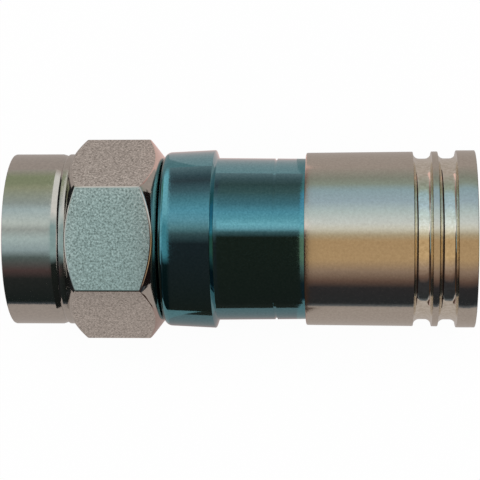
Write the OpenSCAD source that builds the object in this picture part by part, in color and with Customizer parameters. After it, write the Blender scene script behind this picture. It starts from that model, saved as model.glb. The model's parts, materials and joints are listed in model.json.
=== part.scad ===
// Coaxial F-type compression plug, as supplied, before it is crimped onto its cable.
//
// The axis of the plug lies along X. The origin is the centre of the nut's open end, the
// cable enters at the far +X end, and one flat of the hexagon faces up (+Z) and one down.
// Every turned piece is a section in (radius, place along X) that is revolved.

/* [Coupling thread] */
// Major diameter of the 3/8-32 thread in the nut
thread_d = 9.55; // [9:0.05:11]
// Length of the threaded stretch
thread_len = 5; // [4:0.1:7]
// Depth of the plain lead-in in front of the thread
lead_len = 1.2; // [0.8:0.1:2]
// How much wider than the thread the lead-in is, on the diameter
lead_step = 0.35; // [0.3:0.05:0.5]

/* [Coupling nut] */
// Thinnest wall of the hexagon, which makes it 11 mm across its flats
hex_wall = 0.55; // [0.4:0.05:1.5]
// Wall of the round skirt, around the lead-in
skirt_wall = 0.45; // [0.4:0.01:0.6]
// Length of the skirt up to its turned line
skirt_len = 3.04; // [2:0.02:3.6]
// Width of the turned line behind the skirt
line_w = 0.5; // [0.3:0.02:0.8]
// Depth of the turned line
line_deep = 0.2; // [0.1:0.01:0.28]
// Where the line is deepest, as a share of its width
line_root_at = 0.7; // [0.5:0.05:0.9]
// Length of the plain land between the turned line and the hexagon
land_len = 0.32; // [0.1:0.02:0.8]
// Length of the chamfer in front of the hexagon
hex_front_len = 0.7; // [0.4:0.05:1.2]
// Length of the chamfer behind the hexagon
hex_rear_len = 0.92; // [0.5:0.01:1.4]
// Wall of the nut at its rear face, around the seal's recess
rear_lip = 0.33; // [0.2:0.01:0.6]
// Thickness of the nut's rear wall, which bears on the post's flange
nut_wall = 1.07; // [0.6:0.01:2]

/* [Post] */
// Bore of the post, for the cable's foam core
core_d = 4.8; // [4:0.1:5]
// Wall of the post's thin tube
post_wall = 0.35; // [0.25:0.01:0.45]
// How far the barb at the tail stands out from the tube
barb_step = 0.3; // [0.15:0.05:0.4]
// Length of the barb
barb_len = 1.1; // [0.6:0.1:2]
// How far the shank that is pressed into the body stands out from the tube
shank_step = 0.7; // [0.4:0.05:0.8]
// How far the nut's journal stands out from the shank
journal_step = 0.15; // [0.1:0.01:0.2]
// How far the flange that holds the nut stands out from the journal
flange_step = 0.6; // [0.4:0.05:0.7]
// Thickness of the flange
flange_t = 1; // [0.6:0.1:1.6]
// How far the tail reaches past the body's rear end
tail_len = 2.4; // [1.5:0.1:3]

/* [Nut seal] */
// Thickness of the O-ring's cord
seal_cord_d = 0.84; // [0.7:0.02:1]
// Wall of the hub that the O-ring sits on, outside the post's journal
hub_step = 0.29; // [0.15:0.01:0.4]

/* [Grip ring] */
// Room for the cable's jacket around the post
jacket_d = 8.2; // [7.8:0.1:9]
// Wall of the grip ring
grip_wall = 0.46; // [0.3:0.01:0.8]
// Length of the ring's tapered nose
grip_nose_len = 1; // [0.5:0.1:2]
// How far the nose is narrowed, on the radius
grip_nose_deep = 0.26; // [0.1:0.01:0.28]

/* [Body] */
// Wall of the barrel at its rear end
barrel_wall = 0.44; // [0.35:0.01:0.8]
// How much the barrel widens from its rear end to the collar, on the radius
barrel_taper = 0.07; // [0.02:0.01:0.15]
// Length of the barrel behind the collar
barrel_len = 6.65; // [5.5:0.05:9]
// How far the collar's front stands out from the barrel
collar_step = 0.36; // [0.2:0.01:0.6]
// How much the collar widens towards its rear, on the radius
collar_rise = 0.15; // [0:0.01:0.2]
// Length of the collar, with its rear chamfer
collar_len = 3.4; // [2.6:0.1:5]
// Radius of the collar's rounded front shoulder
collar_round = 0.45; // [0.2:0.01:0.6]
// Length of the chamfer behind the collar
collar_rear_len = 0.17; // [0.1:0.01:0.6]
// Distance from the collar to the fine turned ring on the barrel
ring_line_x = 3.58; // [1:0.01:4]
// Width of that turned ring
ring_line_w = 0.17; // [0.1:0.01:0.3]
// Depth of that turned ring
ring_line_deep = 0.09; // [0.04:0.01:0.15]
// Thickness of the body's front wall, which grips the post
front_wall = 1.95; // [1.2:0.05:2.4]

/* [Compression sleeve] */
// Wall of the sleeve at its front edge
sleeve_wall = 0.29; // [0.2:0.01:0.6]
// How much the sleeve widens towards its rear, on the radius
sleeve_rise = 0.08; // [0:0.01:0.15]
// How far the sleeve is started on the barrel
engaged_len = 1.1; // [0.6:0.1:2]
// Length of full wall between the sleeve's inner step and the first groove
groove_land = 0.27; // [0.1:0.01:2]
// Width of each of the two grooves
groove_w = 1.14; // [0.8:0.02:1.3]
// Depth of the grooves
groove_deep = 0.44; // [0.2:0.01:0.5]
// Radius at the foot of the grooves
groove_round = 0.3; // [0.1:0.02:0.4]
// Width of the ring between the grooves
mid_ring_w = 0.4; // [0.3:0.02:0.8]
// Width of the ring behind the grooves
rear_ring_w = 1.18; // [0.8:0.02:2]
// How far the ring behind the grooves stands out from the rest of the sleeve
rear_ring_step = 0.045; // [0:0.005:0.1]
// How much narrower than the grip ring's bore the cable entry is, on the radius
entry_step = 0.2; // [0.18:0.01:0.4]
// Thickness of the rear lip, which the grip ring is seated on
lip_len = 1.73; // [1:0.01:2]

/* [Clearances] */
// Radial running clearance of the nut on its journal
nut_run = 0.05; // [0.02:0.01:0.1]
// End play of the nut between the flange and the body
nut_play = 0.06; // [0.03:0.01:0.15]
// Radial clearance of the sleeve over the widest barrel that it reaches
sleeve_run = 0.03; // [0.02:0.01:0.06]
// Radial clearance of the grip ring in the barrel
grip_run = 0.06; // [0.03:0.01:0.1]
// Gap between the nut's rear face and the collar
nut_gap = 0.07; // [0.04:0.01:0.3]
// Gap left between the sleeve and the collar when fully compressed
stop_gap = 0.45; // [0.2:0.05:1]

/* [Hidden] */

$fn = 96;

edge = 0.1;               // broken edge on turned corners
rim_edge = 0.05;          // broken edge of the sleeve's rear rim
groove_floor = 0.02;      // narrowest flat floor of a rounded groove
thin = 0.05;              // smallest clearance between pieces that only pass each other
fit = 0.01;               // clearance of pieces seated in one another
seat_gap = 0.2;           // room left at the end of the sleeve's travel
nose_gap = 0.3;           // grip ring's nose behind the barrel's end
over = 1;                 // how far a cutting shape reaches past what it cuts
post_runout = 0.35;       // plain stretch between the thread and the flange
relief_step = 0.35;       // how much wider than the thread the flange's room is, on the diameter
grip_room_taper = 0.8;    // length of the cone at the bottom of the grip ring's room

// Radii of the post, from its bore outwards
core_r = core_d / 2;
tube_r = core_r + post_wall;
barb_r = tube_r + barb_step;
shank_r = tube_r + shank_step;
journal_r = shank_r + journal_step;
flange_r = journal_r + flange_step;

// Radii of the seal, its hub and its recess
hub_r = journal_r + hub_step;
seal_r = hub_r + fit + seal_cord_d / 2;
recess_r = seal_r + seal_cord_d / 2 + 2 * thin;

// Radii of the nut
thread_r = thread_d / 2;
lead_r = thread_r + lead_step / 2;
relief_r = thread_r + relief_step / 2;
skirt_r = lead_r + skirt_wall;
nut_rear_r = recess_r + rear_lip;
hex_flat_r = relief_r + hex_wall;
hex_corner_r = hex_flat_r / cos(30);

// Radii around the cable's jacket, from the grip ring outwards
grip_in_r = jacket_d / 2;
grip_r = grip_in_r + grip_wall;
barrel_bore_r = grip_r + grip_run;
barrel_rear_r = barrel_bore_r + barrel_wall;
barrel_front_r = barrel_rear_r + barrel_taper;
collar_front_r = barrel_front_r + collar_step;
collar_rear_r = collar_front_r + collar_rise;
entry_r = grip_in_r - entry_step;

// Places along the nut, from its open end
thread_end = lead_len + thread_len;
flange_front = thread_end + post_runout;
flange_rear = flange_front + flange_t;
nut_wall_front = flange_rear + nut_play;
recess_floor = nut_wall_front + nut_wall;
hub_front = recess_floor + nut_play;
collar_front = recess_floor + thin + seal_cord_d;
nut_len = collar_front - nut_gap;
line_start = skirt_len;
line_end = line_start + line_w;
hex_start = line_end + land_len;

// Places along the body
collar_rear = collar_front + collar_len;
barrel_end = collar_rear + barrel_len;
cavity_front = collar_front + front_wall;

// Travel of the sleeve, and places along it
sleeve_front = barrel_end - engaged_len;
stroke = sleeve_front - collar_rear - stop_gap;
sleeve_step = barrel_end + stroke + seat_gap;
mid_ring_start = sleeve_step + groove_land + groove_w;
mid_ring_end = mid_ring_start + mid_ring_w;
sleeve_end = mid_ring_end + groove_w + rear_ring_w;
grip_seat = sleeve_end - lip_len;

// The grip ring's nose, and the end of the room that it enters
grip_front = barrel_end + nose_gap;
grip_room_front = grip_front - stroke - seat_gap;

// Radius of the tapered barrel, and of the tapered sleeve, at a place along X
function barrel_r(x) = barrel_front_r - barrel_taper * (x - collar_rear) / barrel_len;
function sleeve_r(x) = sleeve_front_r + sleeve_rise * (x - sleeve_front) / (sleeve_end - sleeve_front);

sleeve_bore_r = barrel_r(collar_rear + stop_gap) + sleeve_run;
sleeve_front_r = sleeve_bore_r + sleeve_wall;
rear_ring_r = sleeve_front_r + sleeve_rise + rear_ring_step;

// Revolves a section drawn in (radius, place along X)
module turned() {
    rotate([0, 90, 0])
        rotate_extrude()
            children();
}

// Section of a plain ring between two radii
module band(r_in, r_out, x0, x1) {
    translate([r_in, x0])
        square([r_out - r_in, x1 - x0]);
}

// Section of a groove with rounded feet, cut from outside down to radius root_r
module round_groove(x0, w, root_r, foot) {
    r = min(foot, (w - groove_floor) / 2);
    band(root_r + r, root_r + over, x0, x0 + w);
    band(root_r, root_r + 2 * r, x0 + r, x0 + w - r);
    for (x = [x0 + r, x0 + w - r])
        translate([root_r + r, x])
            circle(r);
}

// ---------------------------------------------------------------- coupling nut

// Round skirt with the turned line behind it
module nut_skirt() {
    r = skirt_r;
    line_root = line_start + line_root_at * line_w;
    turned()
        polygon([
            [0, 0], [r - edge, 0], [r, edge],
            [r, line_start], [r - line_deep, line_root], [r, line_end],
            [r, hex_start + edge], [0, hex_start + edge]
        ]);
}

// Hexagon with both ends chamfered by a cone, and a flat facing up
module nut_hexagon() {
    past = hex_corner_r + edge;
    front_slope = hex_front_len / (hex_corner_r - skirt_r);
    rear_slope = hex_rear_len / (hex_corner_r - nut_rear_r);
    front_past = hex_start + front_slope * (past - skirt_r);
    rear_past = nut_len - rear_slope * (past - nut_rear_r);
    intersection() {
        translate([hex_start, 0, 0])
            rotate([0, 90, 0])
                rotate([0, 0, 90])
                    cylinder(h = nut_len - hex_start, r = hex_corner_r, $fn = 6);
        turned()
            polygon([
                [0, hex_start], [skirt_r, hex_start], [past, front_past],
                [past, rear_past], [nut_rear_r, nut_len], [0, nut_len]
            ]);
    }
}

// Everything that is bored out of the nut: lead-in, thread, flange room, journal, seal recess
module nut_bore() {
    mouth = 2 * edge;
    turned() {
        band(0, lead_r, -over, lead_len);
        polygon([[0, -over], [lead_r + mouth, -over], [lead_r + mouth, 0], [lead_r, mouth], [0, mouth]]);
        band(0, thread_r, lead_len - over / 2, thread_end + edge);
        band(0, relief_r, thread_end, nut_wall_front);
        band(0, journal_r + nut_run, nut_wall_front - over / 2, recess_floor + edge);
        band(0, recess_r, recess_floor, nut_len + over);
    }
}

module coupling_nut() {
    color([0.61, 0.58, 0.55])
        difference() {
            union() {
                nut_skirt();
                nut_hexagon();
            }
            nut_bore();
        }
}

// ------------------------------------------------------------------------ post

// Flanged tube: flange in the nut, journal, pressed shank, thin tube and barbed tail
module post() {
    tail_end = barrel_end + tail_len;
    barb_start = tail_end - barb_len;
    lead = post_wall / 2;
    color([0.74, 0.70, 0.62])
        turned()
            polygon([
                [core_r + lead, flange_front], [flange_r - edge, flange_front],
                [flange_r, flange_front + edge], [flange_r, flange_rear],
                [journal_r, flange_rear], [journal_r, hub_front],
                [shank_r, hub_front], [shank_r, cavity_front],
                [tube_r, cavity_front + shank_step / 2], [tube_r, barb_start],
                [barb_r, barb_start], [barb_r, barb_start + edge],
                [core_r + lead, tail_end], [core_r, tail_end],
                [core_r, flange_front + lead]
            ]);
}

// ------------------------------------------------------------------------ body

// Outside of the body: hub, collar with a rounded shoulder, chamfer, tapered barrel
module body_outline() {
    rear_r = barrel_r(barrel_end - edge);
    ring_x = collar_rear + ring_line_x;
    difference() {
        polygon([
            [0, hub_front], [hub_r, hub_front], [hub_r, collar_front],
            [collar_front_r, collar_front], [collar_front_r, collar_front + collar_round],
            [collar_rear_r, collar_rear - collar_rear_len], [barrel_front_r, collar_rear],
            [rear_r, barrel_end - edge], [rear_r - edge, barrel_end], [0, barrel_end]
        ]);
        // rounds the shoulder
        translate([collar_front_r - collar_round, collar_front + collar_round])
            difference() {
                band(0, collar_round + edge, -collar_round - edge, 0);
                circle(collar_round);
            }
        // fine turned ring
        band(barrel_r(ring_x) - ring_line_deep, barrel_r(ring_x) + edge, ring_x, ring_x + ring_line_w);
    }
}

// Inside of the body: bore that grips the post, cavity for the cable's jacket, room for the grip ring
module body_hollow() {
    press_r = shank_r + fit;
    polygon([
        [0, hub_front - over], [press_r, hub_front - over],
        [press_r, cavity_front], [grip_in_r, cavity_front],
        [grip_in_r, grip_room_front - grip_room_taper], [barrel_bore_r, grip_room_front],
        [barrel_bore_r, barrel_end - edge], [barrel_bore_r + edge, barrel_end],
        [barrel_bore_r + edge, barrel_end + over], [0, barrel_end + over]
    ]);
}

module connector_body() {
    color([0.14, 0.31, 0.34])
        turned()
            difference() {
                body_outline();
                body_hollow();
            }
}

// -------------------------------------------------------------------- nut seal

// O-ring on the body's hub, between the collar and the nut's recess
module nut_seal() {
    color([0.07, 0.07, 0.07])
        turned()
            translate([seal_r, collar_front - seal_cord_d / 2])
                circle(seal_cord_d / 2);
}

// ---------------------------------------------------------- compression sleeve

// Outside of the sleeve, slightly tapered, with two rounded grooves near its rear end
module sleeve_outline() {
    difference() {
        polygon([
            [0, sleeve_front], [sleeve_r(sleeve_front) - edge, sleeve_front],
            [sleeve_r(sleeve_front + edge), sleeve_front + edge],
            [sleeve_r(mid_ring_end), mid_ring_end], [rear_ring_r, mid_ring_end],
            [rear_ring_r, sleeve_end - rim_edge], [rear_ring_r - rim_edge, sleeve_end], [0, sleeve_end]
        ]);
        for (x = [mid_ring_start - groove_w, mid_ring_end])
            round_groove(x, groove_w, sleeve_r(x) - groove_deep, groove_round);
        // broken edges of the ring between the grooves
        for (x = [mid_ring_start, mid_ring_end])
            translate([sleeve_r(x), x])
                rotate(45)
                    square(edge, center = true);
    }
}

// Inside of the sleeve: slides over the barrel, holds the grip ring, lets the cable in
module sleeve_hollow() {
    hold_r = grip_r + fit;
    mouth = 2 * edge;
    polygon([
        [0, sleeve_front - over], [sleeve_bore_r, sleeve_front - over],
        [sleeve_bore_r, sleeve_step], [hold_r, sleeve_step],
        [hold_r, grip_seat], [entry_r, grip_seat],
        [entry_r, sleeve_end - mouth], [entry_r + mouth, sleeve_end],
        [entry_r + mouth, sleeve_end + over], [0, sleeve_end + over]
    ]);
}

module compression_sleeve() {
    color([0.64, 0.60, 0.54])
        turned()
            difference() {
                sleeve_outline();
                sleeve_hollow();
            }
}

// ------------------------------------------------------------------- grip ring

// Acetal ring that the sleeve drives into the barrel, where it grips the cable's jacket
module grip_ring() {
    color([0.90, 0.89, 0.84])
        turned()
            polygon([
                [grip_in_r, grip_front], [grip_r - grip_nose_deep, grip_front],
                [grip_r, grip_front + grip_nose_len], [grip_r, grip_seat],
                [grip_in_r, grip_seat]
            ]);
}

coupling_nut();
post();
connector_body();
nut_seal();
compression_sleeve();
grip_ring();
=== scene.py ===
"""The looks of a male compression plug for coaxial cable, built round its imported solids.

The plug lies along X: the nut's open end at x = 0, the cable entry at +X, one flat of the hexagon up.
Pieces are modelled in millimetres, as on the bench, and brought to metres when they are finished.
"""

import json
import math

import bmesh
import bpy
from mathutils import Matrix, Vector


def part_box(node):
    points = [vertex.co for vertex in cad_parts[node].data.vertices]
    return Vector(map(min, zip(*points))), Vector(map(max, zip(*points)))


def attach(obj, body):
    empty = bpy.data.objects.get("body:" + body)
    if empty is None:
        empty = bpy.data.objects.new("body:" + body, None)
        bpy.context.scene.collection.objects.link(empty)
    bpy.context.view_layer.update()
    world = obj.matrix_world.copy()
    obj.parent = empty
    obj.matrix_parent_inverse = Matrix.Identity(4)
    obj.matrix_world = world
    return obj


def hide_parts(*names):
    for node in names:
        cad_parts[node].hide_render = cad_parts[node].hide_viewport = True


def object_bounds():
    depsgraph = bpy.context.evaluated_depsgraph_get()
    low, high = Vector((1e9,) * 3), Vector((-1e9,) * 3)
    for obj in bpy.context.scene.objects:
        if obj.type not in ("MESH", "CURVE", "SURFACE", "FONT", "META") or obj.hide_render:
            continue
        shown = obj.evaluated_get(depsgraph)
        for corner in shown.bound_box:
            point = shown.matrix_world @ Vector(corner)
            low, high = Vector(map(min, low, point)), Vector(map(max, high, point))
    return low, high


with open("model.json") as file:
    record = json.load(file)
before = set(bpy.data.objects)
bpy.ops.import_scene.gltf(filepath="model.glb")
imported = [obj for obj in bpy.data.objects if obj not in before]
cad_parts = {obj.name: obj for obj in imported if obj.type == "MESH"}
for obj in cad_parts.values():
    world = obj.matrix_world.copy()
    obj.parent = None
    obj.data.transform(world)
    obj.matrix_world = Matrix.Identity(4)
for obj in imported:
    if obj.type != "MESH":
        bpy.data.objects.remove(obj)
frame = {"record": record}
cad_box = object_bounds()

MM = 0.001
NEAR = 1e-4      # two places closer than this, in millimetres, are the same place


def size_of(node):
    """Front end, rear end and largest radius of a turned solid, in millimetres."""
    low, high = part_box(node)
    return low.x / MM, high.x / MM, -low.z / MM


mounts = {mount["name"]: mount["dims"] for mount in frame["record"]["mounts"]}

# ------------------------------------------------------------------ sizes of the plug, in millimetres

FIT = 0.01               # clearance of pieces seated in one another
RUN = 0.05               # clearance of the nut on its journal
BROKEN = 0.1             # broken edge on turned corners
TURNED_BROKEN = 0.8 * BROKEN     # rounding that looks like that broken edge
SHARP = 0.04             # rounding of corners left sharp by the tool
EASED = 0.05             # rounding of small corners that are rubbed smooth
MOUTH = 0.2              # chamfer at the mouth of a bore

_, NUT_REAR, NUT_FLAT_R = size_of("coupling_nut")
FLANGE_FRONT, TAIL_END, FLANGE_R = size_of("post")
HUB_FRONT, BARREL_END, COLLAR_REAR_R = size_of("connector_body")
_, COLLAR_FRONT, SEAL_OUT_R = size_of("nut_seal")
SLEEVE_FRONT, SLEEVE_END, REAR_RING_R = size_of("compression_sleeve")
GRIP_FRONT, GRIP_SEAT, GRIP_R = size_of("grip_ring")

THREAD_R = mounts["coupling_thread"]["r_mm"]
THREAD_LEN = mounts["coupling_thread"]["length_mm"]
THREAD_PITCH = 25.4 / 32
THREAD_DEPTH = 0.395
ENTRY_R = mounts["cable_entry"]["r_mm"]
CORE_R = mounts["core_bore"]["r_mm"]

LEAD_LEN = 1.2
LEAD_R = THREAD_R + 0.175
THREAD_END = LEAD_LEN + THREAD_LEN
THREAD_FOOT = 0.44       # half widths of the thread's ridge, as shares of its pitch
THREAD_CREST = 0.12
THREAD_ROOTED = 0.02     # how far the ridge reaches into the wall
SKIRT_R = LEAD_R + 0.45
LINE_START = 3.04
LINE_W = 0.5
LINE_DEEP = 0.11
LINE_ROOT_AT = 0.7       # where the line is deepest, as a share of its width
LAND_LEN = 0.32
HEX_START = LINE_START + LINE_W + LAND_LEN
HEX_FRONT_LEN = 0.7
HEX_REAR_LEN = 0.92
HEX_CORNER_R = NUT_FLAT_R / math.cos(math.radians(30))
HEX_EDGE = 0.085         # broken edge round the flats
NUT_REAR_R = 5.17
NUT_REAR_ROUND = 0.06
RECESS_R = 4.84
RECESS_FLOOR = 8.68
NUT_WALL = 1.07

FLANGE_T = 1.0
JOURNAL_R = 3.6
SHANK_R = 3.45
TUBE_R = 2.75
BARB_R = 3.05
BARB_LEN = 1.1

HUB_R = 3.89
SEAL_CORD_R = 0.42
CAVITY_R = 4.1
CAVITY_FRONT = COLLAR_FRONT + 1.95
COLLAR_FRONT_R = COLLAR_REAR_R - 0.15
COLLAR_REAR = COLLAR_FRONT + 3.4
COLLAR_ROUND = 0.45
COLLAR_REAR_LEN = 0.17
BARREL_FRONT_R = 5.13
BARREL_REAR_R = 5.06
BARREL_BORE_R = GRIP_R + 0.06    # clearance in which the grip ring slides
RING_LINE_X = COLLAR_REAR + 3.58
RING_LINE_W = 0.17
RING_LINE_DEEP = 0.09
GRIP_ROOM_FRONT = 14.62
GRIP_ROOM_TAPER = 0.8

SLEEVE_REAR_R = REAR_RING_R - 0.045      # step up to the rear ring
SLEEVE_FRONT_R = SLEEVE_REAR_R - 0.08    # the sleeve widens a little towards its rear
SLEEVE_BORE_R = SLEEVE_FRONT_R - 0.29    # its wall over the barrel
SLEEVE_STEP = BARREL_END + 5.3
GROOVE_W = 1.14
GROOVE_DEEP = 0.44
GROOVE_ROUND = 0.4
GROOVE_LAND = 0.27
MID_RING_START = SLEEVE_STEP + GROOVE_LAND + GROOVE_W
MID_RING_END = MID_RING_START + 0.4
RIM_BROKEN = 0.05
GRIP_NOSE_LEN = 1.0
GRIP_NOSE_DEEP = 0.26

# ------------------------------------------------------------------ bench tools

TURN_STEPS = 180         # flats round a turned surface, two degrees each
THREAD_STEPS = 72        # flats in one turn of the thread
ROUND_STEP = 0.05        # length of one step of a rounding
SMOOTH_ANGLE = 25        # edges sharper than this many degrees stay crisp


def deselect_all():
    """Leaves nothing selected, because the loaded solids start selected."""
    for thing in bpy.context.selected_objects:
        thing.select_set(False)


def take(piece):
    """Makes one piece the only selected and the active one."""
    deselect_all()
    piece.select_set(True)
    bpy.context.view_layer.objects.active = piece


def open_mesh(piece, mode="VERT"):
    """Opens a piece in edit mode with nothing selected, and returns its editable mesh."""
    take(piece)
    bpy.ops.object.mode_set(mode="EDIT")
    bpy.ops.mesh.select_mode(type=mode)
    bpy.ops.mesh.select_all(action="DESELECT")
    return bmesh.from_edit_mesh(piece.data)


def close_mesh():
    """Leaves edit mode."""
    bpy.ops.object.mode_set(mode="OBJECT")


def apply_modifier(piece, kind, **settings):
    """Adds a modifier with its settings and applies it."""
    take(piece)
    modifier = piece.modifiers.new(kind.title(), kind)
    for name, value in settings.items():
        setattr(modifier, name, value)
    bpy.ops.object.modifier_apply(modifier=modifier.name)


def point(x, r):
    """A corner of a section, drawn in the plane above the axis."""
    return Vector((x, 0, r))


def draw_outline(name, places, closed=True):
    """Draws an outline as a chain of edges by extruding one vertex from place to place."""
    bpy.ops.mesh.primitive_plane_add(size=1, location=(0, 0, 0))
    piece = bpy.context.object
    piece.name = piece.data.name = name
    open_mesh(piece)
    bpy.ops.mesh.select_all(action="SELECT")
    bpy.ops.mesh.merge(type="CENTER")
    bpy.ops.transform.translate(value=places[0])
    for start, end in zip(places, places[1:]):
        bpy.ops.mesh.extrude_region_move(TRANSFORM_OT_translate={"value": end - start})
    if closed:
        mesh = bmesh.from_edit_mesh(piece.data)
        for vertex in mesh.verts:
            vertex.select = min((vertex.co - places[0]).length, (vertex.co - places[-1]).length) < NEAR
        bpy.ops.mesh.edge_face_add()
    close_mesh()
    return piece


def tidy_mesh(piece):
    """Merges doubles and turns every face outwards."""
    open_mesh(piece)
    bpy.ops.mesh.select_all(action="SELECT")
    bpy.ops.mesh.remove_doubles(threshold=NEAR)
    bpy.ops.mesh.normals_make_consistent(inside=False)
    close_mesh()


def round_ring(piece, x, r, width):
    """Rounds the ring of edges at one corner of a turned section."""
    mesh = open_mesh(piece, "EDGE")
    for edge in mesh.edges:
        edge.select = all(
            abs(v.co.x - x) < NEAR and abs(math.hypot(v.co.y, v.co.z) - r) < NEAR for v in edge.verts
        )
    bmesh.update_edit_mesh(piece.data)
    segments = max(2, round(width / ROUND_STEP))
    bpy.ops.mesh.bevel(offset=width, offset_type="OFFSET", segments=segments, affect="EDGES", profile=0.5)
    close_mesh()


def turned(name, corners):
    """Turns a piece from its section: corners are (x, radius) or (x, radius, rounding)."""
    piece = draw_outline(name, [point(*corner[:2]) for corner in corners])
    open_mesh(piece)
    bpy.ops.mesh.select_all(action="SELECT")
    bpy.ops.mesh.spin(steps=TURN_STEPS, angle=math.tau, center=(0, 0, 0), axis=(1, 0, 0))
    close_mesh()
    tidy_mesh(piece)
    for corner in corners:
        if len(corner) == 3:
            round_ring(piece, *corner)
    return piece


def to_metres(piece):
    """Brings a piece drawn in millimetres to its real size."""
    take(piece)
    piece.scale = (MM, MM, MM)
    bpy.ops.object.transform_apply(location=False, rotation=False, scale=True)


def finished(piece, body, slot, node, *materials):
    """Brings a piece to metres, smooths it, gives it its materials, and sets it on its body."""
    to_metres(piece)
    bpy.ops.object.shade_smooth_by_angle(angle=math.radians(SMOOTH_ANGLE))
    apply_modifier(piece, "WEIGHTED_NORMAL", keep_sharp=True, weight=60)
    piece.data.materials.clear()
    for material in materials:
        piece.data.materials.append(material)
    if node:
        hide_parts(node)
    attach(piece, body)
    return piece


# ------------------------------------------------------------------ materials

def linear(hex_colour):
    """Turns an sRGB hex colour, such as "#C8C2B6", into linear RGBA."""
    channels = [int(hex_colour[i:i + 2], 16) / 255 for i in (1, 3, 5)]
    return tuple(c / 12.92 if c <= 0.04045 else ((c + 0.055) / 1.055) ** 2.4 for c in channels) + (1,)


def add_node(material, kind, inputs=None, stops=(), **settings):
    """Adds a node, with its settings, its colour stops, and its inputs set or linked."""
    tree = material.node_tree
    node = tree.nodes.new(kind)
    for name, value in settings.items():
        setattr(node, name, value)
    for socket, value in (inputs or {}).items():
        if isinstance(value, bpy.types.NodeSocket):
            tree.links.new(value, node.inputs[socket])
        else:
            node.inputs[socket].default_value = value
    for index, (position, colour) in enumerate(stops):
        ramp = node.color_ramp
        stop = ramp.elements[index] if index < 2 else ramp.elements.new(position)
        stop.position, stop.color = position, linear(colour)
    return node


def new_material(name):
    """An empty node material."""
    material = bpy.data.materials.new(name)
    material.use_nodes = True
    material.node_tree.nodes.clear()
    return material


def millimetres(material):
    """Object coordinates in millimetres."""
    place = add_node(material, "ShaderNodeTexCoord")
    return add_node(material, "ShaderNodeMapping",
                    {"Vector": place.outputs["Object"], "Scale": (1 / MM, 1 / MM, 1 / MM)}).outputs["Vector"]


def plated(name, dark, light, roughness, grain_mm, grain_um, line_mm=0.0, line_um=0.0):
    """Plated metal: a mottled colour, the plating's grain as bump, and the lathe's lines round the axis."""
    material = new_material(name)
    place = millimetres(material)
    grain = add_node(material, "ShaderNodeTexNoise",
                     {"Vector": place, "Scale": 1 / grain_mm, "Detail": 3.0, "Roughness": 0.6})
    colour = add_node(material, "ShaderNodeValToRGB", {"Fac": grain.outputs["Fac"]},
                      stops=[(0.3, dark), (0.7, light)])
    dull = add_node(material, "ShaderNodeMapRange",
                    {"Value": grain.outputs["Fac"], "From Min": 0.3, "From Max": 0.7,
                     "To Min": roughness[0], "To Max": roughness[1]})
    bump = add_node(material, "ShaderNodeBump",
                    {"Height": grain.outputs["Fac"], "Distance": grain_um * 1e-6, "Strength": 1.0})
    normal = bump.outputs["Normal"]
    if line_mm:
        along = add_node(material, "ShaderNodeSeparateXYZ", {"Vector": place})
        lines = add_node(material, "ShaderNodeTexNoise",
                         {"W": along.outputs["X"], "Scale": 1 / line_mm, "Detail": 2.0},
                         noise_dimensions="1D")
        bump = add_node(material, "ShaderNodeBump",
                        {"Height": lines.outputs["Fac"], "Distance": line_um * 1e-6, "Normal": normal})
        normal = bump.outputs["Normal"]
    shader = add_node(material, "ShaderNodeBsdfPrincipled",
                      {"Base Color": colour.outputs["Color"], "Metallic": 1.0,
                       "Roughness": dull.outputs["Result"], "Normal": normal})
    add_node(material, "ShaderNodeOutputMaterial", {"Surface": shader.outputs["BSDF"]})
    return material


def moulded(name, dark, light, roughness, grain_mm, grain_um, subsurface=0.0):
    """Moulded plastic or rubber: slight mottling and a fine moulded grain."""
    material = new_material(name)
    grain = add_node(material, "ShaderNodeTexNoise",
                     {"Vector": millimetres(material), "Scale": 1 / grain_mm, "Detail": 4.0})
    colour = add_node(material, "ShaderNodeValToRGB", {"Fac": grain.outputs["Fac"]},
                      stops=[(0.35, dark), (0.65, light)])
    bump = add_node(material, "ShaderNodeBump",
                    {"Height": grain.outputs["Fac"], "Distance": grain_um * 1e-6})
    shader = add_node(material, "ShaderNodeBsdfPrincipled",
                      {"Base Color": colour.outputs["Color"], "Roughness": roughness,
                       "Normal": bump.outputs["Normal"], "Subsurface Weight": subsurface,
                       "Subsurface Scale": 0.3 * MM})
    add_node(material, "ShaderNodeOutputMaterial", {"Surface": shader.outputs["BSDF"]})
    return material


# Nickel-tin plate over turned brass, as on the sleeve: satin, warm grey, with the plating's fine grain
sleeve_plate = plated("nickel_tin_plate_turned", "#CBC3B8", "#D8D1C6", (0.08, 0.14), 0.16, 0.9, 0.12, 0.3)
# The same plate on the nut's turned skirt and chamfers: a little greyer and smoother
nut_plate = plated("nickel_tin_plate_on_nut", "#C4BFB8", "#D2CCC4", (0.07, 0.12), 0.2, 0.8, 0.1, 0.3)
# The same plate on the flats of drawn hexagon bar, which are never turned: coarse grain, duller
flat_plate = plated("nickel_tin_plate_on_bar", "#948E87", "#FFF8F0", (0.16, 0.3), 0.12, 4.0)
# The same plate in the sleeve's grooves, cut smooth by a form tool, with fine lathe lines; its brighter
# colour is a painted highlight
groove_plate_with_highlight = plated("nickel_tin_plate_in_grooves", "#DAD2C2", "#F6F0E4", (0.05, 0.09), 0.2, 0.5, 0.05, 0.4)
# Bright nickel on the post, which is hidden in use
post_plate = plated("bright_nickel_plate", "#C9C3B4", "#D9D3C4", (0.16, 0.24), 0.3, 1.0, 0.1, 0.6)
# Dark blue-green chromate over plated brass, glossy, mottled where the film is uneven
body_plate = plated("blue_green_chromate", "#5A97A3", "#6FADB9", (0.04, 0.08), 0.12, 0.5, 0.14, 0.2)
# Black nitrile rubber, moulded: dull, almost no mottling
nitrile = moulded("nitrile_rubber_moulded", "#0E0E0F", "#1A1A1B", 0.55, 0.15, 2.0)
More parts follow.
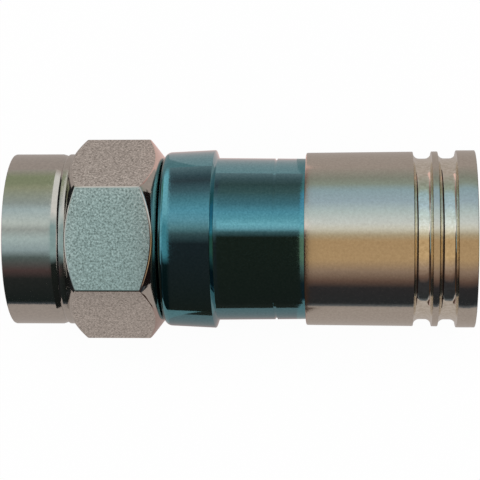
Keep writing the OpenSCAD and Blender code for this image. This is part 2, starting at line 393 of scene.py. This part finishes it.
# Natural acetal, moulded: off-white, slightly translucent, satin
acetal = moulded("acetal_moulded", "#DEDBD0", "#E9E6DC", 0.42, 0.5, 1.0, 0.2)

# ------------------------------------------------------------------ the coupling nut

past = HEX_CORNER_R + BROKEN
front_slope = HEX_FRONT_LEN / (HEX_CORNER_R - SKIRT_R)
rear_slope = HEX_REAR_LEN / (HEX_CORNER_R - NUT_REAR_R)
nut = turned("coupling_nut_turned", [
    (0, LEAD_R + MOUTH),
    (0, SKIRT_R, TURNED_BROKEN),
    (LINE_START, SKIRT_R),
    (LINE_START + LINE_ROOT_AT * LINE_W, SKIRT_R - LINE_DEEP),
    (LINE_START + LINE_W, SKIRT_R),
    (HEX_START, SKIRT_R),
    (HEX_START + front_slope * (past - SKIRT_R), past),
    (NUT_REAR - rear_slope * (past - NUT_REAR_R), past),
    (NUT_REAR, NUT_REAR_R, NUT_REAR_ROUND),
    (NUT_REAR, RECESS_R),
    (RECESS_FLOOR, RECESS_R),
    (RECESS_FLOOR, JOURNAL_R + RUN),
    (RECESS_FLOOR - NUT_WALL, JOURNAL_R + RUN),
    (RECESS_FLOOR - NUT_WALL, LEAD_R),
    (THREAD_END, LEAD_R),
    (THREAD_END, THREAD_R),
    (LEAD_LEN, THREAD_R),
    (LEAD_LEN, LEAD_R),
    (MOUTH, LEAD_R),
])


def flat_directions():
    """The six directions square to the hexagon's flats."""
    return [Vector((0, math.sin(math.radians(a)), math.cos(math.radians(a)))) for a in range(0, 360, 60)]


def plane_flats(piece):
    """Planes the six flats of the hexagon on the turned blank."""
    for direction in flat_directions():
        open_mesh(piece)
        bpy.ops.mesh.select_all(action="SELECT")
        bpy.ops.mesh.bisect(plane_co=direction * NUT_FLAT_R, plane_no=direction,
                            use_fill=True, clear_outer=True, threshold=NEAR)
        close_mesh()


def is_flat(face):
    """True for a face that lies on one of the hexagon's flats."""
    return any(face.normal.dot(d) > 0.9999 and abs(face.calc_center_median().dot(d) - NUT_FLAT_R) < 0.01
               for d in flat_directions())


def break_flat_edges(piece):
    """Breaks the edges round the flats, which catch the light."""
    mesh = open_mesh(piece, "EDGE")
    flats = {face.index for face in mesh.faces if is_flat(face)}
    for edge in mesh.edges:
        edge.select = any(face.index in flats for face in edge.link_faces) and edge.calc_face_angle(0) > 0.2
    bmesh.update_edit_mesh(piece.data)
    bpy.ops.mesh.bevel(offset=HEX_EDGE, offset_type="OFFSET", segments=2, affect="EDGES",
                       clamp_overlap=False)
    close_mesh()


plane_flats(nut)
break_flat_edges(nut)
flat_faces = [face.index for face in open_mesh(nut, "FACE").faces if is_flat(face)]
close_mesh()
finished(nut, "nut", "plated_nut", "coupling_nut", nut_plate, flat_plate)
for index in flat_faces:
    nut.data.polygons[index].material_index = 1


def cut_thread():
    """The ridge of the nut's internal 3/8-32 thread, right-handed."""
    foot = THREAD_FOOT * THREAD_PITCH
    crest = THREAD_CREST * THREAD_PITCH
    start = LEAD_LEN + foot
    turns = (THREAD_LEN - 2 * foot) / THREAD_PITCH
    steps = round(THREAD_STEPS * turns)
    ridge = draw_outline("coupling_nut_thread", [
        point(start - foot, THREAD_R + THREAD_ROOTED), point(start - crest, THREAD_R - THREAD_DEPTH),
        point(start + crest, THREAD_R - THREAD_DEPTH), point(start + foot, THREAD_R + THREAD_ROOTED),
    ])
    apply_modifier(ridge, "SCREW", axis="X", angle=math.tau * turns, screw_offset=THREAD_PITCH * turns,
                   steps=steps, render_steps=steps, use_smooth_shade=False)
    open_mesh(ridge)
    bpy.ops.mesh.select_non_manifold()
    bpy.ops.mesh.edge_face_add()
    close_mesh()
    tidy_mesh(ridge)
    return ridge


finished(cut_thread(), "nut", "plated_nut", None, nut_plate)

# ------------------------------------------------------------------ the post

post_chamfer = (TUBE_R - CORE_R) / 2
finished(turned("post_turned", [
    (FLANGE_FRONT, CORE_R + post_chamfer),
    (FLANGE_FRONT, FLANGE_R, TURNED_BROKEN),
    (FLANGE_FRONT + FLANGE_T, FLANGE_R, EASED),
    (FLANGE_FRONT + FLANGE_T, JOURNAL_R),
    (HUB_FRONT, JOURNAL_R),
    (HUB_FRONT, SHANK_R),
    (CAVITY_FRONT, SHANK_R),
    (CAVITY_FRONT + (SHANK_R - TUBE_R) / 2, TUBE_R),
    (TAIL_END - BARB_LEN, TUBE_R),
    (TAIL_END - BARB_LEN, BARB_R, SHARP),
    (TAIL_END - BARB_LEN + BROKEN, BARB_R),
    (TAIL_END, CORE_R + post_chamfer, EASED),
    (TAIL_END, CORE_R),
    (FLANGE_FRONT + post_chamfer, CORE_R),
]), "body", "plated_post", "post", post_plate)

# ------------------------------------------------------------------ the body

barrel_len = BARREL_END - COLLAR_REAR


def barrel_r(x):
    """Radius of the tapered barrel at a place along the axis."""
    return BARREL_FRONT_R + (BARREL_REAR_R - BARREL_FRONT_R) * (x - COLLAR_REAR) / barrel_len


line_r = barrel_r(RING_LINE_X)
press_r = SHANK_R + FIT
finished(turned("connector_body_turned", [
    (HUB_FRONT, press_r),
    (HUB_FRONT, HUB_R),
    (COLLAR_FRONT, HUB_R),
    (COLLAR_FRONT, COLLAR_FRONT_R, COLLAR_ROUND),
    (COLLAR_REAR - COLLAR_REAR_LEN, COLLAR_REAR_R, SHARP),
    (COLLAR_REAR, BARREL_FRONT_R, SHARP),
    (RING_LINE_X, line_r),
    (RING_LINE_X, line_r - RING_LINE_DEEP),
    (RING_LINE_X + RING_LINE_W, line_r - RING_LINE_DEEP),
    (RING_LINE_X + RING_LINE_W, line_r),
    (BARREL_END, barrel_r(BARREL_END), TURNED_BROKEN),
    (BARREL_END, BARREL_BORE_R + BROKEN),
    (BARREL_END - BROKEN, BARREL_BORE_R),
    (GRIP_ROOM_FRONT, BARREL_BORE_R),
    (GRIP_ROOM_FRONT - GRIP_ROOM_TAPER, CAVITY_R),
    (CAVITY_FRONT, CAVITY_R),
    (CAVITY_FRONT, press_r),
]), "body", "dark_body", "connector_body", body_plate)

# ------------------------------------------------------------------ the seal between nut and body

seal_mid = point(COLLAR_FRONT - SEAL_CORD_R, SEAL_OUT_R - SEAL_CORD_R)
seal_angles = [math.radians(a) for a in range(0, 360, 15)]
finished(turned("nut_seal_moulded", [
    (seal_mid.x + SEAL_CORD_R * math.cos(a), seal_mid.z + SEAL_CORD_R * math.sin(a)) for a in seal_angles
]), "body", "seal_rubber", "nut_seal", nitrile)

# ------------------------------------------------------------------ the compression sleeve


def sleeve_r(x):
    """Radius of the slightly tapered sleeve at a place along the axis."""
    share = (x - SLEEVE_FRONT) / (SLEEVE_END - SLEEVE_FRONT)
    return SLEEVE_FRONT_R + (SLEEVE_REAR_R - SLEEVE_FRONT_R) * share


def groove(start, rear_edge_r):
    """Corners of one rounded groove, from its front edge to its rear edge."""
    root = sleeve_r(start) - GROOVE_DEEP
    end = start + GROOVE_W
    return [
        (start, sleeve_r(start), SHARP), (start, root, GROOVE_ROUND),
        (end, root, GROOVE_ROUND), (end, rear_edge_r, SHARP),
    ]


sleeve = turned("compression_sleeve_turned", [
    (SLEEVE_FRONT, SLEEVE_BORE_R),
    (SLEEVE_FRONT, SLEEVE_FRONT_R, TURNED_BROKEN),
    *groove(MID_RING_START - GROOVE_W, sleeve_r(MID_RING_START)),
    *groove(MID_RING_END, REAR_RING_R),
    (SLEEVE_END, REAR_RING_R, 0.8 * RIM_BROKEN),
    (SLEEVE_END, ENTRY_R + MOUTH),
    (SLEEVE_END - MOUTH, ENTRY_R),
    (GRIP_SEAT, ENTRY_R),
    (GRIP_SEAT, GRIP_R + FIT),
    (SLEEVE_STEP, GRIP_R + FIT),
    (SLEEVE_STEP, SLEEVE_BORE_R),
])
finished(sleeve, "sleeve", "plated_sleeve", "compression_sleeve", sleeve_plate, groove_plate_with_highlight)
# Faces inside the grooves take the brighter plate, whose colour paints the grooves' highlight
groove_starts = (MID_RING_START - GROOVE_W, MID_RING_END)
for face in sleeve.data.polygons:
    x = face.center.x / MM
    r = math.hypot(face.center.y, face.center.z) / MM
    in_a_groove = any(start < x < start + GROOVE_W for start in groove_starts)
    if in_a_groove and GRIP_R + BROKEN < r < sleeve_r(x) - SHARP / 2:
        face.material_index = 1

# ------------------------------------------------------------------ the grip ring

finished(turned("grip_ring_moulded", [
    (GRIP_FRONT, CAVITY_R),
    (GRIP_FRONT, GRIP_R - GRIP_NOSE_DEEP, EASED),
    (GRIP_FRONT + GRIP_NOSE_LEN, GRIP_R),
    (GRIP_SEAT, GRIP_R, EASED),
    (GRIP_SEAT, CAVITY_R, EASED),
]), "sleeve", "acetal", "grip_ring", acetal)

# ------------------------------------------------------------------ studio

FLOOR_Z = cad_box[0][2]
FLOOR_SIZE = 1.2
TENT_R = 300             # the tent, its arches and its mats are in millimetres, as the pieces are
ARCH_R = 15
SKIRT_ARCH_END = 2       # where the arches meet along the axis, as the camera sees them mirrored
HEXAGON_ARCH_END = 8.3
COLLAR_ARCH_END = 12.6
BARREL_ARCH_END = 18.2
SLEEVE_ARCH_END = 34
END_RING_R = 8           # opening of the ring that closes the arches
END_RING_T = 0.2
PANEL_STEPS = 32
SHEET_LIFT = 0.03          # each sheet lies this much above the one under it
BODY_REFLECTION_X = 13
BODY_REFLECTION_W = 9.4
CURTAIN_X = 150
CURTAIN_TALL = 60
PLAIN_LIGHT = 0.6        # share of the plain light that comes from all round
LAMP_HEIGHT = 0.5        # the lamp's place and size are in metres
LAMP_BACK = 0.12
LAMP_SIZE = 0.35
FLOOR_GLOW = 0.96        # share of the floor's white that shadows don't touch


def only_reflected(thing):
    """A card that metal reflects, and that neither shows itself nor shades anything."""
    thing.visible_camera = False
    thing.visible_diffuse = False
    thing.visible_transmission = False
    thing.visible_shadow = False


def seen_or_reflected(tree_owner):
    """1 where the camera, metal or glass looks, and 0 where plain surfaces gather their light."""
    path = add_node(tree_owner, "ShaderNodeLightPath")
    seen = add_node(tree_owner, "ShaderNodeMath",
                    {0: path.outputs["Is Camera Ray"], 1: path.outputs["Is Glossy Ray"]}, operation="MAXIMUM")
    through = add_node(tree_owner, "ShaderNodeMath",
                       {0: seen.outputs[0], 1: path.outputs["Is Transmission Ray"]}, operation="MAXIMUM")
    return through.outputs[0]


def tent_cloth(name, stops):
    """Lit cloth whose colour runs round the plug. Stops are (degrees from straight up towards +Y, colour)."""
    low, high = stops[0][0], stops[-1][0]
    material = new_material(name)
    place = add_node(material, "ShaderNodeTexCoord")
    parts = add_node(material, "ShaderNodeSeparateXYZ", {"Vector": place.outputs["Object"]})
    angle = add_node(material, "ShaderNodeMath",
                     {0: parts.outputs["Y"], 1: parts.outputs["Z"]}, operation="ARCTAN2")
    share = add_node(material, "ShaderNodeMapRange",
                     {"Value": angle.outputs[0],
                      "From Min": math.radians(low), "From Max": math.radians(high)})
    shares = [((degrees - low) / (high - low), colour) for degrees, colour in stops]
    ramp = add_node(material, "ShaderNodeValToRGB", {"Fac": share.outputs["Result"]}, stops=shares)
    glow = add_node(material, "ShaderNodeEmission", {"Color": ramp.outputs["Color"], "Strength": 1.0})
    add_node(material, "ShaderNodeOutputMaterial", {"Surface": glow.outputs["Emission"]})
    return material


def plain_cloth(name, colour):
    """Lit cloth of one colour."""
    material = new_material(name)
    glow = add_node(material, "ShaderNodeEmission", {"Color": linear(colour), "Strength": 1.0})
    add_node(material, "ShaderNodeOutputMaterial", {"Surface": glow.outputs["Emission"]})
    return material


def tent_panel(name, radius, x_from, x_to, stops):
    """An arched panel of cloth over the plug, from the first stop's angle to the last one's."""
    low, high = math.radians(stops[0][0]), math.radians(stops[-1][0])
    angles = [low + (high - low) * step / PANEL_STEPS for step in range(PANEL_STEPS + 1)]
    arch = [Vector((x_from, radius * math.sin(a), radius * math.cos(a))) for a in angles]
    panel = draw_outline(name, arch, closed=False)
    open_mesh(panel)
    bpy.ops.mesh.select_all(action="SELECT")
    bpy.ops.mesh.extrude_region_move(TRANSFORM_OT_translate={"value": (x_to - x_from, 0, 0)})
    close_mesh()
    to_metres(panel)
    panel.data.materials.append(tent_cloth(name + "_cloth", stops))
    only_reflected(panel)


# The far tent: white cloth overhead, cooler and greyer towards the back, shaded low at the front
tent_panel("tent", TENT_R, -TENT_R, TENT_R, [
    (-97, "#303030"), (-60, "#4A4A4A"), (-40, "#A0A0A0"), (0, "#D8D8D4"), (20, "#EBF2F2"), (33, "#D6E4E8"),
    (47, "#B4CBD6"), (60, "#A0B8C0"), (72, "#90A098"), (85, "#8E9288"), (100, "#ACA8A2"),
])
# Five cloth arches close over the plug, one for each of its stretches: black cloth low at the front,
# then a pale, a warm or a white card, a cool window overhead, and greener or duller cloth at the back
tent_panel("skirt_arch", ARCH_R, -8, SKIRT_ARCH_END, [
    (-83, "#505860"), (-78, "#202828"), (-45, "#2C3030"), (-35, "#584848"), (-20, "#607070"),
    (-12, "#A8C0C8"), (0, "#C4DCE0"), (10, "#B4C0C0"), (17, "#D8E8E8"), (32, "#C0D8E0"), (40, "#A8B8B8"),
    (60, "#A8B098"), (67, "#98A488"), (77, "#98A488"), (91, "#B4B0AC"),
])
tent_panel("hexagon_arch", ARCH_R, SKIRT_ARCH_END, HEXAGON_ARCH_END, [
    (-91, "#1C1E1E"), (-28, "#202624"), (-16, "#9CBCC0"), (14, "#9CBCC0"), (30, "#F4F8F8"), (78, "#F4F8F8"),
    (91, "#C0B8B4"),
])
tent_panel("collar_arch", ARCH_R, HEXAGON_ARCH_END, COLLAR_ARCH_END, [
    (-91, "#403028"), (-5, "#483838"), (5, "#847470"), (12, "#C8BCB8"), (20, "#D8D8DC"), (30, "#C8D8E0"),
    (40, "#B0BCC0"), (53, "#988C8C"), (67, "#786060"), (75, "#847070"), (91, "#C8A8A4"),
])
tent_panel("barrel_arch", ARCH_R, COLLAR_ARCH_END, BARREL_ARCH_END, [
    (-91, "#403028"), (2, "#443428"), (8, "#908884"), (12, "#F0E8E8"), (17, "#FFFFFF"), (24, "#D0E0E4"),
    (32, "#BCD0D8"), (42, "#9CA4A8"), (58, "#8C8078"), (70, "#7C6C64"), (80, "#98807C"), (91, "#CCA8A4"),
])
tent_panel("sleeve_arch", ARCH_R, BARREL_ARCH_END, SLEEVE_ARCH_END, [
    (-84, "#707880"), (-79, "#303438"), (-55, "#343438"), (-47, "#6C5850"), (-35, "#A08C7C"),
    (-22, "#C8AC84"), (-2, "#C4A880"), (4, "#C4B89C"), (11, "#ECF0E8"), (17, "#E8F4F8"), (30, "#CCE4EC"),
    (41, "#B0CCE0"), (55, "#A4C4D4"), (64, "#9CACA4"), (72, "#98A098"), (91, "#B4ACA8"),
])
# A black ring closes the arches behind the plug, and darkens the grooves' forward sides
end_ring = turned("end_ring", [
    (SLEEVE_ARCH_END, END_RING_R), (SLEEVE_ARCH_END, ARCH_R),
    (SLEEVE_ARCH_END + END_RING_T, ARCH_R), (SLEEVE_ARCH_END + END_RING_T, END_RING_R),
])
to_metres(end_ring)
end_ring.data.materials.append(plain_cloth("end_ring_cloth", "#1A1414"))
only_reflected(end_ring)

bpy.ops.mesh.primitive_plane_add(size=FLOOR_SIZE, location=(0, 0, FLOOR_Z))
floor = bpy.context.object
floor.name = "floor"
# White paper sweep, evenly lit, that keeps a soft shadow
paper = new_material("white_paper")
paper_matt = add_node(paper, "ShaderNodeBsdfDiffuse", {"Color": linear("#FFFFFF")})
paper_glow = add_node(paper, "ShaderNodeEmission", {"Color": linear("#FFFFFF"), "Strength": 1.0})
paper_share = add_node(paper, "ShaderNodeMath", {0: seen_or_reflected(paper), 1: FLOOR_GLOW},
                       operation="MULTIPLY")
paper_mix = add_node(paper, "ShaderNodeMixShader",
                     {0: paper_share.outputs[0], 1: paper_matt.outputs[0], 2: paper_glow.outputs[0]})
add_node(paper, "ShaderNodeOutputMaterial", {"Surface": paper_mix.outputs[0]})
floor.data.materials.append(paper)


def card(name, colour, middle, size, upright=False):
    """A flat lit card that only metal reflects, in millimetres, lying down or upright across the axis."""
    bpy.ops.mesh.primitive_plane_add(size=1, location=(0, 0, 0))
    piece = bpy.context.object
    piece.name = piece.data.name = name
    piece.scale = (size[0] * MM, size[1] * MM, 1)
    piece.rotation_euler = (0, math.pi / 2 if upright else 0, 0)
    piece.location = Vector(middle) * MM
    bpy.ops.object.transform_apply(location=True, rotation=True, scale=True)
    # Its colour is lit colour that only metal sees; on the sheets over the floor it paints the floor's
    # reflection and shadow
    piece.data.materials.append(plain_cloth(name + "_seen_in_metal", colour))
    only_reflected(piece)


def floor_sheet(name, colour, layer, x, y, size):
    """A sheet over the floor that only metal sees, with a painted colour for the floor's reflection, in the
    given layer of those that lie there.
    """
    card(name, colour, (x, y, FLOOR_Z / MM + layer * SHEET_LIFT), size)


# Sheets that only metal sees lie over the white floor and paint its reflection: a dark one over all of it, a
# taupe one round the plug that paints the floor's shadow there, and three smaller ones below the body, paler
# behind it and darker in front
floor_sheet("dark_floor_stand_in", "#26282A", 1, 0, 0, (2 * CURTAIN_X, 2 * CURTAIN_X))
floor_sheet("painted_floor_shadow", "#B4ACA8", 2, 17, 0, (58, 140))
floor_sheet("painted_floor_reflection_behind_body", "#E8C8C2", 3, BODY_REFLECTION_X, 20, (BODY_REFLECTION_W, 40))
floor_sheet("painted_floor_reflection_before_body", "#B09C98", 3, BODY_REFLECTION_X, -10.5, (BODY_REFLECTION_W, 21))
floor_sheet("painted_dark_floor_reflection_before_body", "#48362D", 4, BODY_REFLECTION_X, -31, (BODY_REFLECTION_W, 20))
# Dark curtains stand low at both ends of the plug
for name, x in (("curtain_front", -CURTAIN_X), ("curtain_rear", CURTAIN_X)):
    middle = (x, 0, FLOOR_Z / MM + CURTAIN_TALL / 2)
    card(name, "#1E2022", middle, (CURTAIN_TALL, 2 * CURTAIN_X), upright=True)

world = bpy.data.worlds.new("studio")
bpy.context.scene.world = world
world.use_nodes = True
world.node_tree.nodes.clear()
plain_light = add_node(world, "ShaderNodeBackground", {"Color": linear("#FFFFFF"), "Strength": PLAIN_LIGHT})
white_wall = add_node(world, "ShaderNodeBackground", {"Color": linear("#FFFFFF"), "Strength": 1.0})
world_mix = add_node(world, "ShaderNodeMixShader",
                     {0: seen_or_reflected(world), 1: plain_light.outputs[0], 2: white_wall.outputs[0]})
add_node(world, "ShaderNodeOutputWorld", {"Surface": world_mix.outputs[0]})

lamp_data = bpy.data.lights.new("soft_lamp", "AREA")
lamp_data.size = LAMP_SIZE
lamp_data.energy = (1 - PLAIN_LIGHT) * (math.pi * LAMP_HEIGHT) ** 2
lamp = bpy.data.objects.new("soft_lamp", lamp_data)
lamp.location = (0.015, LAMP_BACK, LAMP_HEIGHT)
lamp.rotation_euler = (-math.atan(LAMP_BACK / LAMP_HEIGHT), 0, 0)
lamp.visible_glossy = False
lamp.visible_camera = False
bpy.context.scene.collection.objects.link(lamp)

camera_data = bpy.data.cameras.new("camera")
camera_data.lens = 135.9
camera_data.sensor_width = 36
camera_data.clip_start = 0.005
camera = bpy.data.objects.new("camera", camera_data)
camera.location = (0.0223, 0.0001, 0.1148)
camera.rotation_euler = (-0.0015, 0.0697, -0.0001)
bpy.context.scene.collection.objects.link(camera)
bpy.context.scene.camera = camera
bpy.context.scene.view_settings.view_transform = "Standard"
